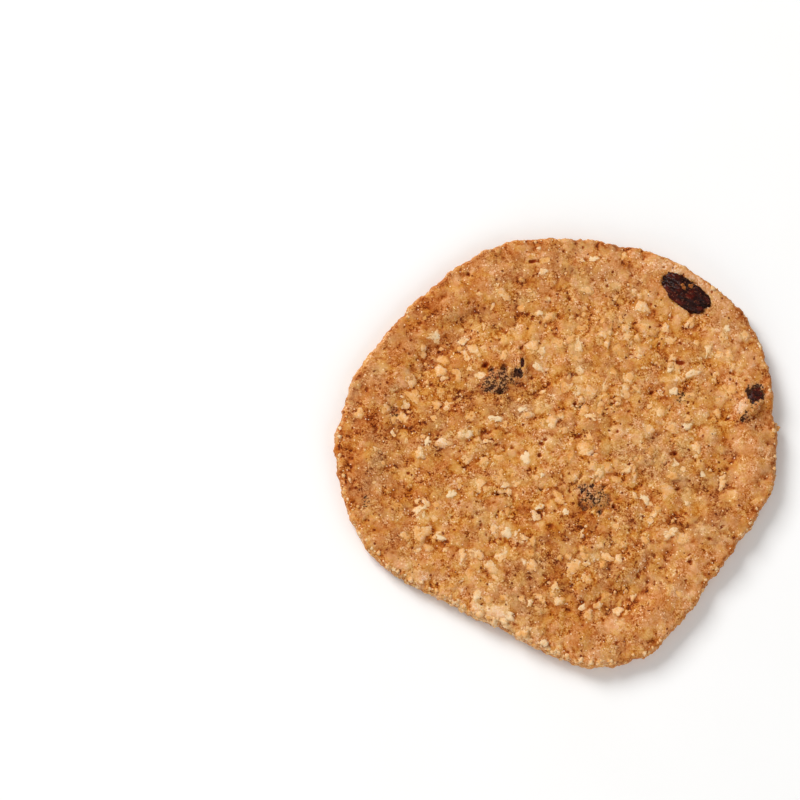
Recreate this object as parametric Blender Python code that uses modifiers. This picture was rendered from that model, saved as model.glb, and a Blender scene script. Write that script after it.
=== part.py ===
"""A thin oatmeal raisin cookie, lying flat on its baked underside.

Pieces: the baked dough, one solid, and the five raisins that break its surface, each in its own socket.
Axes: +Z up, the underside on z = 0, the origin under the middle of the cookie's bounding box.
Run it with: blender --background --python part.py
"""

import math

import bmesh
import bpy
from mathutils import Matrix, Vector, noise

MM = 0.001

# ---------------------------------------------------------------- driving dimensions, in millimetres
# The outline is a rounded polygon: each side is a compass direction in degrees, anticlockwise from +X,
# and how far out it lies. Higher exponents make sharper corners.
SIDES = (
    (2, 46.9),
    (28, 51.2),
    (53, 50.0),
    (80, 47.0),
    (107, 45.9),
    (137, 43.4),
    (163, 45.9),
    (188, 47.3),
    (210, 45.5),
    (244, 39.3),
    (286, 47.0),
    (324, 42.0),
)
CORNER_EXPONENT = 26
RIM_WOBBLE = 0.45  # how far the baked edge wanders in and out
RIM_WOBBLE_LENGTH = 7.0

MIDDLE_THICKNESS = 4.9
EDGE_THICKNESS = 3.0
EDGE_SLOPE = 2.4  # how far in from the edge the top reaches most of its height
RIM_ROLL_INSET = 5.5  # from the edge to the crest of the raised rim
RIM_ROLL_HEIGHT = 0.5
RIM_ROLL_WIDTH = 3.2
VALLEY_INSET = 12.0  # from the edge to the ring-shaped valley inside the rim
VALLEY_DEPTH = 0.5
VALLEY_WIDTH = 2.6

SWELL_HEIGHT = 0.5  # slow rise and fall of the whole top
SWELL_LENGTH = 17.0
LUMP_HEIGHT = 0.55  # oat lumps under the skin
LUMP_LENGTH = 4.6
LUMP_LAYER = 40.0  # the level at which the lumps read the noise, clear of the swell's

# Short creases where the dough sank as it cooled: start, end, depth and half width.
CREASES = (
    ((-24.4, 10.6), (-4.4, 12.8), 0.8, 1.9),
    ((-38.4, 4.2), (-27.4, 2.4), 0.6, 1.5),
    ((-23.4, -0.6), (-15.9, -3.0), 0.5, 1.5),
    ((-38.4, -9.0), (-30.9, -10.4), 0.6, 1.5),
    ((-28.9, 17.7), (-16.4, 29.7), 0.7, 1.7),
    ((-10.9, 26.7), (4.6, 28.7), 0.7, 1.8),
    ((4.6, 28.7), (12.6, 33.0), 0.6, 1.6),
    ((36.1, 7.2), (35.6, -6.8), 0.8, 2.3),
    ((20.1, -25.8), (9.1, -34.8), 0.9, 2.2),
)

# The raisins that break the surface: middle, length, width, depth, the direction in which the raisin points
# and how far it stands out of the dough.
RAISINS = {
    "raisin_rim": ((27.5, 34.0), 12.4, 6.5, 4.2, -41, 1.0),
    "raisin_edge": ((41.1, 10.4), 9.2, 4.6, 3.6, 55, 0.5),
    "raisin_left": ((-13.0, 14.5), 8.4, 5.4, 3.8, 16, 0.5),
    "raisin_sliver": ((-7.6, 18.4), 6.0, 3.2, 3.2, 98, 0.45),
    "raisin_low": ((7.2, -9.8), 8.2, 5.8, 4.0, -30, 0.45),
}
MOUND_HEIGHT = 0.6  # the dough that rises round each raisin
MOUND_SPREAD = 1.5  # times the raisin's half length
SOCKET_GAP = 0.3

# A raisin's folds run from end to end. Their depth is a share of the raisin's half width.
RAISIN_WRINKLES = 7
WRINKLE_DEPTH = 0.1
WRINKLE_SWAY = 1.6
WRINKLE_SWAY_LENGTH = 0.6  # in half widths
WRINKLE_TWIST = 4.0
RAISIN_SPACING = 3.1  # how far apart the raisins read the noise, so that no two are alike

# ---------------------------------------------------------------- how finely the solids are faceted
STEPS_ROUND = 96
TOP_RINGS = 21
TOP_REACH = 0.955  # the share of the radius that the rings of the top cover
RAISIN_SEGMENTS = 20
RAISIN_RINGS = 12
OUTLINE_SAMPLES = 720
SEAM_MERGE = 0.0001

# The section of the baked edge and of the underside, as shares of the radius and of the height.
EDGE_SECTION = ((0.975, 0.93), (0.99, 0.78), (0.999, 0.58), (1.0, 0.36), (0.996, 0.15), (0.986, 0.0))
UNDERSIDE_SECTION = ((0.82, 0.0), (0.56, 0.0), (0.28, 0.0), (0.0, 0.0))

# ---------------------------------------------------------------- plain finishes: colour and roughness
BAKED_DOUGH = ((0.50, 0.24, 0.085), 0.72)
RAISIN_SKIN = ((0.035, 0.012, 0.010), 0.38)


def clear_scene():
    for old in list(bpy.data.objects):
        bpy.data.objects.remove(old, do_unlink=True)


def new_collection(name):
    made = bpy.data.collections.new(name)
    bpy.context.scene.collection.children.link(made)
    return made


def plain_material(name, finish):
    colour, roughness = finish
    made = bpy.data.materials.new(name)
    made.use_nodes = True
    shader = made.node_tree.nodes["Principled BSDF"]
    shader.inputs["Base Color"].default_value = (*colour, 1.0)
    shader.inputs["Roughness"].default_value = roughness
    shader.inputs["Metallic"].default_value = 0.0
    return made


# ---------------------------------------------------------------- the outline, in millimetres
def rim_radius(angle):
    """How far the edge is from the outline's own centre, in this direction in radians."""
    reach = 0.0
    for direction, distance in SIDES:
        facing = math.cos(angle - math.radians(direction))
        if facing > 0:
            reach += (facing / distance) ** CORNER_EXPONENT
    smooth = reach ** (-1 / CORNER_EXPONENT)
    walk = Vector((math.cos(angle), math.sin(angle), 0.0)) * smooth / RIM_WOBBLE_LENGTH
    return smooth + RIM_WOBBLE * noise.noise(walk)


def outline_middle():
    """The middle of the outline's box, which the finished cookie has over the origin."""
    angles = [2 * math.pi * i / OUTLINE_SAMPLES for i in range(OUTLINE_SAMPLES)]
    xs = [rim_radius(a) * math.cos(a) for a in angles]
    ys = [rim_radius(a) * math.sin(a) for a in angles]
    return Vector(((min(xs) + max(xs)) / 2, (min(ys) + max(ys)) / 2, 0.0))


# ---------------------------------------------------------------- the top surface, in millimetres
def bump(distance, width):
    """1 at distance 0, falling smoothly to nothing over a few widths."""
    return math.exp(-((distance / width) ** 2))


def distance_to_line(point, start, end):
    start, end = Vector(start), Vector(end)
    along = end - start
    share = max(0.0, min(1.0, (point - start).dot(along) / along.length_squared))
    return (point - (start + along * share)).length


def raisin_mound(point, raisin):
    """The dough's rise round one raisin, over an oval that is longer than the raisin."""
    middle, length, width, _, heading, _ = raisin
    across = Matrix.Rotation(-math.radians(heading), 2) @ (point - Vector(middle))
    oval = math.hypot(across.x / (length / 2), across.y / (width / 2)) / MOUND_SPREAD
    return MOUND_HEIGHT * bump(oval, 1.0)


def top_height(x, y, inset):
    """The top's height above the underside at x, y. inset is the way in from the edge."""
    point = Vector((x, y))
    rise = 1 - math.exp(-inset / EDGE_SLOPE)
    height = EDGE_THICKNESS + (MIDDLE_THICKNESS - EDGE_THICKNESS) * rise
    height += RIM_ROLL_HEIGHT * bump(inset - RIM_ROLL_INSET, RIM_ROLL_WIDTH)
    height -= VALLEY_DEPTH * bump(inset - VALLEY_INSET, VALLEY_WIDTH)
    height += SWELL_HEIGHT * noise.noise(Vector((x, y, 0.0)) / SWELL_LENGTH)
    height += LUMP_HEIGHT * noise.noise(Vector((x, y, LUMP_LAYER)) / LUMP_LENGTH)
    for start, end, depth, half_width in CREASES:
        height -= depth * bump(distance_to_line(point, start, end), half_width)
    return height + max(raisin_mound(point, raisin) for raisin in RAISINS.values())


# ---------------------------------------------------------------- the dough
def dough_section():
    """The section of a blank of radius 1 and height 1: the top from its middle, the edge, the underside."""
    top = [(TOP_REACH * ring / TOP_RINGS, 1.0) for ring in range(TOP_RINGS + 1)]
    return top + list(EDGE_SECTION) + list(UNDERSIDE_SECTION)


def turned_blank():
    """The blank: its section turned about Z."""
    section = bpy.data.meshes.new("dough_section")
    points = [(across, 0.0, level) for across, level in dough_section()]
    section.from_pydata(points, [(i, i + 1) for i in range(len(points) - 1)], [])
    blank = bpy.data.objects.new("dough_blank", section)
    bpy.context.scene.collection.objects.link(blank)
    turn = blank.modifiers.new("turn", "SCREW")
    turn.axis = "Z"
    turn.steps = turn.render_steps = STEPS_ROUND
    turn.use_merge_vertices = True
    turn.merge_threshold = SEAM_MERGE
    evaluated = blank.evaluated_get(bpy.context.evaluated_depsgraph_get())
    mesh = bpy.data.meshes.new_from_object(evaluated)
    bpy.data.objects.remove(blank, do_unlink=True)
    return mesh


def shape_dough(mesh, middle):
    """Carries the blank onto the cookie: outwards to the outline, upwards to the top surface."""
    for vertex in mesh.vertices:
        across, level = math.hypot(vertex.co.x, vertex.co.y), vertex.co.z
        angle = math.atan2(vertex.co.y, vertex.co.x)
        edge = rim_radius(angle)
        radius = across * edge
        x, y = radius * math.cos(angle), radius * math.sin(angle)
        height = level * top_height(x, y, edge - radius)
        vertex.co = (Vector((x, y, height)) - middle) * MM


def make_dough(collection, middle):
    mesh = turned_blank()
    shape_dough(mesh, middle)
    mesh.name = "cookie"
    mesh.shade_smooth()
    mesh.materials.clear()
    mesh.materials.append(plain_material("baked_dough", BAKED_DOUGH))
    cookie = bpy.data.objects.new("cookie", mesh)
    collection.objects.link(cookie)
    return cookie


# ---------------------------------------------------------------- the raisins
def ball_mesh(name):
    shape = bmesh.new()
    bmesh.ops.create_uvsphere(
        shape, u_segments=RAISIN_SEGMENTS, v_segments=RAISIN_RINGS, radius=1.0
    )
    mesh = bpy.data.meshes.new(name)
    shape.to_mesh(mesh)
    shape.free()
    mesh.shade_smooth()
    return mesh


def wrinkle(mesh, offset):
    """Folds that run from end to end of a unit ball, cut inwards only, so that it stays in its socket."""
    for vertex in mesh.vertices:
        waist = math.atan2(vertex.co.y, vertex.co.x)
        place = vertex.co / WRINKLE_SWAY_LENGTH + Vector((offset, 0, 0))
        sway = WRINKLE_SWAY * noise.noise(place)
        fold = (1 - math.cos(RAISIN_WRINKLES * waist + WRINKLE_TWIST * sway)) / 2
        away_from_ends = 1 - vertex.co.z**2
        vertex.co *= 1 - WRINKLE_DEPTH * (fold * away_from_ends + abs(sway))


def seat(mesh, raisin, middle, extra=0.0):
    """Scales a unit ball to the raisin, lays its length along its heading and sets it into the top."""
    (x, y), length, width, depth, heading, proud = raisin
    edge = rim_radius(math.atan2(y, x))
    level = top_height(x, y, edge - math.hypot(x, y)) + proud - depth / 2
    size = Matrix.Diagonal(
        (width / 2 + extra, depth / 2 + extra, length / 2 + extra, 1.0)
    )
    lie_down = Matrix.Rotation(math.radians(90), 4, "Y")
    turn = Matrix.Rotation(math.radians(heading), 4, "Z")
    upright = Matrix.Rotation(math.radians(90), 4, "X")
    place = Matrix.Translation(Vector((x, y, level)) - middle)
    mesh.transform(Matrix.Scale(MM, 4) @ place @ turn @ upright @ lie_down @ size)


def make_raisin(name, raisin, offset, skin, collection, middle):
    mesh = ball_mesh(name)
    wrinkle(mesh, offset)
    seat(mesh, raisin, middle)
    mesh.materials.append(skin)
    collection.objects.link(bpy.data.objects.new(name, mesh))


def cut_socket(cookie, name, raisin, cutters, middle):
    mesh = ball_mesh("socket_" + name)
    seat(mesh, raisin, middle, SOCKET_GAP)
    cutter = bpy.data.objects.new("socket_" + name, mesh)
    cutter.hide_render = True
    cutter.display_type = "WIRE"
    cutters.objects.link(cutter)
    cut = cookie.modifiers.new("socket_" + name, "BOOLEAN")
    cut.operation = "DIFFERENCE"
    cut.solver = "EXACT"
    cut.object = cutter


def main():
    clear_scene()
    parts = new_collection("oatmeal_raisin_cookie")
    cutters = new_collection("cutters")
    middle = outline_middle()
    cookie = make_dough(parts, middle)
    skin = plain_material("raisin_skin", RAISIN_SKIN)
    for order, (name, raisin) in enumerate(RAISINS.items()):
        make_raisin(name, raisin, RAISIN_SPACING * order, skin, parts, middle)
        cut_socket(cookie, name, raisin, cutters, middle)


main()
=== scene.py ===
import math

import bmesh
import bpy
import numpy as np
from mathutils import Matrix, Vector, noise
from mathutils.bvhtree import BVHTree


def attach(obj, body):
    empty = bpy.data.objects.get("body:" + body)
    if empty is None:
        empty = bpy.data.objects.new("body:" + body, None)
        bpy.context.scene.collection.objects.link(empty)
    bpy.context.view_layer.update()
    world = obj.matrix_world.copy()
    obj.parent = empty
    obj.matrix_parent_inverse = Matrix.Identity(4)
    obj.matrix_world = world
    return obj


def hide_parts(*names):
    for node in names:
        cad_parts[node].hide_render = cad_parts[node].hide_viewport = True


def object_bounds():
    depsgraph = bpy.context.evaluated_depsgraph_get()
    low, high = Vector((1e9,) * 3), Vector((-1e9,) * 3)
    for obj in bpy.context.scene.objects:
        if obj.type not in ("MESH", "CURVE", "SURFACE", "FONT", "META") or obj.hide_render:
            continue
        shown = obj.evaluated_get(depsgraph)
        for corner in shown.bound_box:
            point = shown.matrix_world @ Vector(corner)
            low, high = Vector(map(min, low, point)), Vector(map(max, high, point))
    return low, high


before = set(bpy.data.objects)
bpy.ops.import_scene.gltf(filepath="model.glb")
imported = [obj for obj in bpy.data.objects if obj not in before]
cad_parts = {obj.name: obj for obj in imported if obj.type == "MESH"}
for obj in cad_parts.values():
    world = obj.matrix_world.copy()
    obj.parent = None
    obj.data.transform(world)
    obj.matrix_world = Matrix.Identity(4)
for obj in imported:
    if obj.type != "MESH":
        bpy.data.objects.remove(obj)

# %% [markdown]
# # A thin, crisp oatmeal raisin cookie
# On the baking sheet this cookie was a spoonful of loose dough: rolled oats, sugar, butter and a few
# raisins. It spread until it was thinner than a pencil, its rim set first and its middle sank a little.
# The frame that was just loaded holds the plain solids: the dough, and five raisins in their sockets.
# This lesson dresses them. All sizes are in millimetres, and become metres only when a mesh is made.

MM = 0.001
plain_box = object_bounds()
print("plain cookie, mm:", [round(side / MM, 1) for side in plain_box[1] - plain_box[0]])

# %% [markdown]
# ## The camera
# A cookie is looked at from above, leaning back a little so that the near edge shows its thickness.
# A long lens from far away keeps the round outline true. The camera is built from three directions,
# which say where its right, its top and its back point. That is easier to steer here than angles,
# because the view is turned so that the cookie's +Y stays at the top.

# %% Aim the camera
LENS = 180.0
DISTANCE = 842.6
LEAN = math.radians(13.6)
LEAN_TOWARDS = math.radians(249.6)
ROLL = math.radians(20.7)
AIM = Vector((-32.9, 11.1, 0.0))

aside = math.sin(LEAN)
back = Vector((aside * math.cos(LEAN_TOWARDS), aside * math.sin(LEAN_TOWARDS), math.cos(LEAN)))
level_right = Vector((0, 0, 1)).cross(back).normalized()
turned = Matrix.Rotation(ROLL, 3, back)
right, top = turned @ level_right, turned @ back.cross(level_right)
camera = bpy.data.objects.new("camera", bpy.data.cameras.new("camera"))
bpy.context.scene.collection.objects.link(camera)
camera.data.lens = LENS
facing = Matrix((right, top, back)).transposed().to_4x4()
camera.matrix_world = Matrix.Translation((AIM + back * DISTANCE) * MM) @ facing
bpy.context.scene.camera = camera
print("camera is", round(camera.matrix_world.translation.z / MM), "mm above the table")

# %% [markdown]
# ## Light
# Baked crust shows its relief only when light comes from one side, so a broad soft lamp stands at the
# top left. Two weaker ones and a pale sky fill the shadows, so that the deep pores stay brown.

# %% Set the lamps and the sky
def soft_lamp(name, place, across, watts):
    """A square lamp that faces the cookie."""
    lamp = bpy.data.lights.new(name, "AREA")
    lamp.size = across * MM
    lamp.energy = watts
    made = bpy.data.objects.new(name, lamp)
    made.location = Vector(place) * MM
    made.rotation_euler = (-Vector(place)).to_track_quat("-Z", "Y").to_euler()
    bpy.context.scene.collection.objects.link(made)


soft_lamp("window", (-1050, 1000, 1250), 900, 33.0)
soft_lamp("bounce", (900, -700, 1200), 1200, 6.0)
soft_lamp("front", (-500, -1150, 650), 900, 4.5)
sky = bpy.data.worlds.new("sky")
sky.use_nodes = True
glow = sky.node_tree.nodes["Background"].inputs
glow["Color"].default_value = (1.0, 0.985, 0.965, 1.0)
glow["Strength"].default_value = 0.33
bpy.context.scene.world = sky
bpy.context.scene.view_settings.view_transform = "Standard"

# %% [markdown]
# ## Measuring the plain solids
# The detailed dough has to follow the plain one, so its outline and its top are measured and not
# repeated here. Rays do that: level ones from the middle find the edge, and falling ones find the top.

# %% Rays against the plain dough
def ray_tree(node):
    """A node's surface, in millimetres, ready for rays."""
    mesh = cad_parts[node].data
    corners = [vertex.co / MM for vertex in mesh.vertices]
    return BVHTree.FromPolygons(corners, [tuple(face.vertices) for face in mesh.polygons])


plain_dough = ray_tree("cookie")
print("rays ready")

# %% The plain edge
EDGE_LEVEL = 1.1  # the height at which the edge stands out furthest
DIRECTIONS = 2048
MEAN_RADIUS = 46
bearings = np.arange(DIRECTIONS) * 2 * math.pi / DIRECTIONS


def edge_at(bearing):
    """How far the plain edge is from the middle, in this direction."""
    way = Vector((math.cos(bearing), math.sin(bearing), 0))
    return plain_dough.ray_cast(Vector((0, 0, EDGE_LEVEL)), way)[3]


def round_noise(lump, seed):
    """A random walk round the edge, with lumps about this many millimetres long, 1 in spread."""
    steps = np.random.default_rng(seed).standard_normal(DIRECTIONS)
    turns = np.fft.fftfreq(DIRECTIONS, 1 / DIRECTIONS)
    spread = lump / 4 / MEAN_RADIUS
    walk = np.fft.ifft(np.fft.fft(steps) * np.exp(-((turns * spread) ** 2) / 2)).real
    return walk / walk.std()


plain_edge = np.array([edge_at(bearing) for bearing in bearings])


def edge_towards(bearing, edge=plain_edge):
    """How far an edge is from the middle, in any directions."""
    return np.interp(bearing, bearings, edge, period=2 * math.pi)


print("edge from", round(plain_edge.min(), 1), "to", round(plain_edge.max(), 1), "mm out")

# %% [markdown]
# ## A relief map
# Oats, crumbs and pores are far too many to model by hand. They are laid on a square map of heights
# that covers the cookie, as a sculptor builds up clay on a board. The map is a numpy array, so one line
# works on every place at once. Here is its grid, a blur, a soft step, and the random clouds that give
# the dough its unevenness.

# %% The map's grid and its basic tools
CELL = 0.15
CELLS = 640
places = (np.arange(CELLS) - (CELLS - 1) / 2) * CELL
X, Y = np.meshgrid(places, places, indexing="ij")
out = np.hypot(X, Y)
bearing_here = np.arctan2(Y, X)
inset = edge_towards(bearing_here) - out


def blur(values, reach):
    """Blurs a map over about this many millimetres."""
    waves = np.fft.fftfreq(CELLS, CELL)
    keep = np.exp(-2 * (math.pi * reach * waves) ** 2)
    return np.fft.ifft2(np.fft.fft2(values) * keep[:, None] * keep[None, :]).real


def cloud(lump, seed):
    """Soft random lumps about this many millimetres across, 0 on average and 1 in spread."""
    soft = blur(np.random.default_rng(seed).standard_normal((CELLS, CELLS)), lump / 4)
    return soft / soft.std()


def ease(values, low, high):
    """0 at low, 1 at high, with a soft start and end."""
    share = np.clip((values - low) / (high - low), 0, 1)
    return share * share * (3 - 2 * share)


print("map of", CELLS, "by", CELLS, "cells,", round(CELL * CELLS), "mm wide")

# %% [markdown]
# ## The bed
# The bed is the plain top without its raisin sockets and its rolled edge, so the raisins are found
# first. Falling rays measure the bed on every fourth cell. Blurring the hits, and dividing by the blur
# of where there was a hit, joins them into a smooth surface, and a wider blur fills the sockets from
# their surroundings.

# %% Where the raisins lie
RAISINS = [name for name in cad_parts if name.startswith("raisin")]


def raisin_place(node):
    """Where a plain raisin lies: middle, heading, half length, half width, half depth."""
    points = np.array([vertex.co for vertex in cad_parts[node].data.vertices]) / MM
    low, high = points.min(0), points.max(0)
    flat = points[:, :2] - points[:, :2].mean(0)
    _, ways = np.linalg.eigh(flat.T @ flat)
    along, across = np.abs(flat @ ways[:, 1]).max(), np.abs(flat @ ways[:, 0]).max()
    heading = math.atan2(ways[1, 1], ways[0, 1])
    return (low + high) / 2, heading, along, across, (high[2] - low[2]) / 2


def oval(dx, dy, heading, along, across):
    """0 in the middle of an oval, 1 on its edge."""
    lengthways = dx * math.cos(heading) + dy * math.sin(heading)
    sideways = dy * math.cos(heading) - dx * math.sin(heading)
    return np.hypot(lengthways / along, sideways / across)


raisins = {name: raisin_place(name) for name in RAISINS}
# The skin of the rim raisin lies a few degrees further round than its plain solid
RIM_TURN = math.radians(6)
middle, heading, *halves = raisins["raisin_rim"]
raisins["raisin_rim"] = (middle + (0.2, 0.3, 0), heading + RIM_TURN, *halves)
for name, (middle, *_) in raisins.items():
    print(name, "at", [round(float(at), 1) for at in middle], "mm")

# %% Measure the bed
SPARSE = 4
FALL_FROM = 20.0
EDGE_ROLL_WIDTH = 2.4
usable = inset > EDGE_ROLL_WIDTH
for middle, heading, along, across, _ in raisins.values():
    usable &= oval(X - middle[0], Y - middle[1], heading, along + 0.9, across + 0.9) > 1
hits = np.zeros((CELLS, CELLS))
levels = np.zeros((CELLS, CELLS))
for i in range(0, CELLS, SPARSE):
    for j in range(0, CELLS, SPARSE):
        if usable[i, j]:
            start = Vector((places[i], places[j], FALL_FROM))
            levels[i, j] = plain_dough.ray_cast(start, Vector((0, 0, -1)))[0].z
            hits[i, j] = 1
near = blur(levels, 0.7), blur(hits, 0.7)
far = blur(levels, 3.0), blur(hits, 3.0)
FAR_SHARE = 0.002
bed = (near[0] + FAR_SHARE * far[0]) / (near[1] + FAR_SHARE * np.maximum(far[1], 1e-9))
print("bed from", round(bed[usable].min(), 2), "to", round(bed[usable].max(), 2), "mm high")

# %% [markdown]
# ## Where the dough differs
# The rim of a thin cookie sets first: it is smoother, tighter and pinker than the golden, crumbly
# middle. One map says how much each place belongs to the rim. Its border wanders, as it does on the
# real thing. On one side, at the lower left, the edge stayed dry and crumbly, so there is less of a rim.
# A second map is painted shade: it darkens the left side, and a few listed patches darken it more,
# or lighten it where their number is below zero.

# %% The rim's share
CRUMBLY_SIDE = math.radians(243)
CRUMBLY_SPREAD = math.radians(36)


def dryness(bearing):
    """How dry the edge is in this direction: 1 at the lower left, where it broke into crumbs."""
    aside = (bearing - CRUMBLY_SIDE + math.pi) % (2 * math.pi) - math.pi
    return np.exp(-((aside / CRUMBLY_SPREAD) ** 2))


rim = 1 - ease(inset + 2.2 * cloud(6, 11), 3.0, 15.0)
rim *= 1 - 0.7 * dryness(bearing_here)
crumbly = 1 - 0.45 * rim
print("rim covers", round(100 * rim[inset > 0].mean()), "% of the top")

# %% Where shade is painted
shaded_side = 0.3 * Y - 0.95 * X + 3 * cloud(14, 13)
toast = ease(shaded_side, 10, 46)
# x, y, half width, how much darker, with less than zero for lighter
SHADE_PATCHES = (
    (-28.0, 3.5, 8.5, 1.0), (-18.0, 14.0, 8.0, 1.1), (-0.8, -20.0, 10.0, 1.9), (-4.0, -31.0, 7.0, 0.6),
    (6.0, -13.5, 6.0, 0.5), (-31.0, 33.0, 10.0, 1.2), (27.0, -30.5, 9.0, -1.3), (33.6, 30.4, 1.9, 1.8),
    (41.9, 16.2, 1.3, 2.2), (-5.5, -25.0, 2.6, 1.5), (-32.1, 1.4, 2.6, 1.4), (4.8, 7.9, 2.0, 1.3),
    (23.3, 12.1, 1.8, 1.2), (-15.2, -30.0, 2.2, 1.2), (21.1, 7.7, 1.8, 1.2), (-29.7, 18.8, 2.6, -1.6),
    (16.9, -26.0, 2.4, -1.3), (-27.8, 13.9, 2.2, -1.3), (19.2, 17.9, 2.4, -1.3), (34.7, 8.6, 2.2, -1.1),
    (11.2, -0.3, 2.0, -1.0),
)
for x, y, half_width, more in SHADE_PATCHES:
    toast += more * np.exp(-(((X - x) ** 2 + (Y - y) ** 2) / half_width**2))
print("toast from", round(toast[inset > 0].min(), 1), "to", round(toast[inset > 0].max(), 1))

# %% [markdown]
# ## Creases
# As the cookie cooled it sank unevenly, and short creases formed. The plain dough has them too, but its
# facets are too wide to hold them sharply, so they are deepened here. Each is a groove round a line.
# The distance is shaken by a cloud, so that no groove is straight.

# %% Sink the creases
# start, end, depth, half width
CREASES = (
    ((-24.4, 10.6), (-4.4, 12.8), 0.40, 1.7),
    ((-38.4, 4.2), (-27.4, 2.4), 0.40, 1.4),
    ((-23.4, -0.6), (-15.9, -3.0), 0.50, 1.2),
    ((-38.4, -9.0), (-30.9, -10.4), 0.40, 1.3),
    ((-28.9, 17.7), (-16.4, 29.7), 0.30, 1.7),
    ((-10.9, 26.7), (4.6, 28.7), 0.30, 1.7),
    ((4.6, 28.7), (12.6, 33.0), 0.25, 1.6),
    ((36.1, 7.2), (35.6, -6.8), 0.25, 2.1),
    ((20.1, -25.8), (9.1, -34.8), 0.35, 2.2),
)


def far_from_line(start, end):
    """How far each cell is from a line between two places."""
    (x, y), way = start, np.subtract(end, start)
    share = np.clip(((X - x) * way[0] + (Y - y) * way[1]) / (way @ way), 0, 1)
    return np.hypot(X - x - share * way[0], Y - y - share * way[1])


shaken = 0.5 * cloud(4, 12)
for start, end, depth, half_width in CREASES:
    bed -= depth * np.exp(-(((far_from_line(start, end) + shaken) / half_width) ** 2))
print(len(CREASES), "creases")

# %% [markdown]
# ## Crumb
# Between the oats the dough is a craggy crumb with lumps of every size. Adding clouds of halving sizes
# and falling heights gives that. The finest one is kept low, because the mesh has a point only every
# third of a millimetre.

# %% Lay the crumb
CRUMB = ((6.0, 0.15, 20), (3.4, 0.06, 21), (1.9, 0.04, 22), (1.1, 0.035, 23), (0.65, 0.03, 24))
relief = sum(height * cloud(lump, seed) for lump, height, seed in CRUMB) * crumbly
surface = bed + relief
print("crumb relief", round(relief.std(), 3), "mm")

# %% [markdown]
# ## Oats
# A rolled oat is a thin torn oval, 2 to 5 mm long. In the dough each one lies at its own slant, so that
# a part of it stands out and the rest is sunk. A flake is described once, by its place, slant and torn
# outline, and used twice. First it is laid on the map as a slanting, slightly domed plate, and the
# higher of plate and dough wins, with a soft corner where the dough creeps up. Later the same numbers
# make the bare flake itself, as a thin mesh just above its plate, so that its border is crisp.

# %% A flake
LOBES = ((2, 0.10), (3, 0.14), (5, 0.10), (8, 0.06))
SLANT = 0.09
FLAKE_CURL = 0.5  # how far the border of a flake bends down into the dough
slow_bed = blur(bed, 1.5)


def new_flake(x, y, along, across, lift, dome, dice):
    """One flake: where it lies, how it slants and where it is torn."""
    flake = {"x": x, "y": y, "along": along, "across": across, "lift": lift, "dome": dome}
    flake["heading"] = dice.uniform(0, math.pi)
    flake["phases"] = dice.uniform(0, 2 * math.pi, len(LOBES))
    flake["slant"] = dice.normal(0, SLANT, 2)
    return flake


def torn(flake, around):
    """How far the torn outline is from a true oval, in each direction."""
    waves = zip(LOBES, flake["phases"])
    return 1 + sum(share * np.cos(lobes * around + phase) for (lobes, share), phase in waves)


def reach_in(flake, dx, dy):
    """0 in the middle of a flake, 1 on its torn outline."""
    c, s = math.cos(flake["heading"]), math.sin(flake["heading"])
    lengthways, sideways = (dx * c + dy * s) / flake["along"], (dy * c - dx * s) / flake["across"]
    return np.hypot(lengthways, sideways) / torn(flake, np.arctan2(sideways, lengthways))


print("flakes are torn in", len(LOBES), "waves")

# %% Its plate, and whether it can lie bare
def plate(flake, dx, dy, reach, ground):
    """The height of a flake's upper side over the ground it lies on."""
    slope = flake["slant"][0] * dx + flake["slant"][1] * dy
    curl = FLAKE_CURL * ease(reach, 0.72, 1.25) + 2.0 * np.maximum(reach - 1.2, 0)
    return ground + flake["lift"] + slope + flake["dome"] * (1 - reach**2) - curl


def lies_clear(flake):
    """Whether a flake keeps off the edge and the raisins, so that it can lie bare."""
    x, y = flake["x"], flake["y"]
    edge = edge_towards(math.atan2(y, x))
    clear = edge - math.hypot(x, y) > 1.3 * flake["along"] + 0.8
    for middle, heading, along, across, _ in raisins.values():
        clear &= oval(x - middle[0], y - middle[1], heading, along, across) > 1 + flake["along"] / across
    return clear


print("flake tools ready")

# %% Lay flakes on the map
CREEP = 9.0  # higher values make sharper corners between flake and dough
oat = np.zeros((CELLS, CELLS))
pale = np.zeros((CELLS, CELLS))


def patch_round(x, y, reach):
    """The cells within reach of a place, and how far each is from it."""
    first = [max(0, int((at - reach - places[0]) / CELL)) for at in (x, y)]
    last = [min(CELLS, int((at + reach - places[0]) / CELL) + 2) for at in (x, y)]
    cells = np.s_[first[0] : last[0], first[1] : last[1]]
    return cells, X[cells] - x, Y[cells] - y


def patch_under(flake):
    """The cells that a flake can touch, and how far each is from its middle."""
    return patch_round(flake["x"], flake["y"], 1.9 * flake["along"] + 0.3)


def lay_flake(flake, bareness, paleness):
    """Lays one flake on the surface, and marks where it shows."""
    cells, dx, dy = patch_under(flake)
    if not dx.size:
        return
    reach = reach_in(flake, dx, dy)
    height = plate(flake, dx, dy, reach, slow_bed[cells])
    before = surface[cells]
    shows = ease(height - before, -0.06, 0.10) * (1 - ease(reach, 0.8, 1.15))
    surface[cells] = np.logaddexp(before * CREEP, height * CREEP) / CREEP
    oat[cells] = oat[cells] * (1 - shows) + shows * bareness
    pale[cells] = pale[cells] * (1 - shows) + shows * paleness


print("a patch of 2 mm has", patch_round(0, 0, 1.0)[1].size, "cells")

# %% Places for many flakes
MAP_WIDTH = CELL * CELLS
ROW_STEP = 0.87  # rows of a hexagonal grid lie closer than its places
EDGE_MARGIN = 0.9


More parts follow.
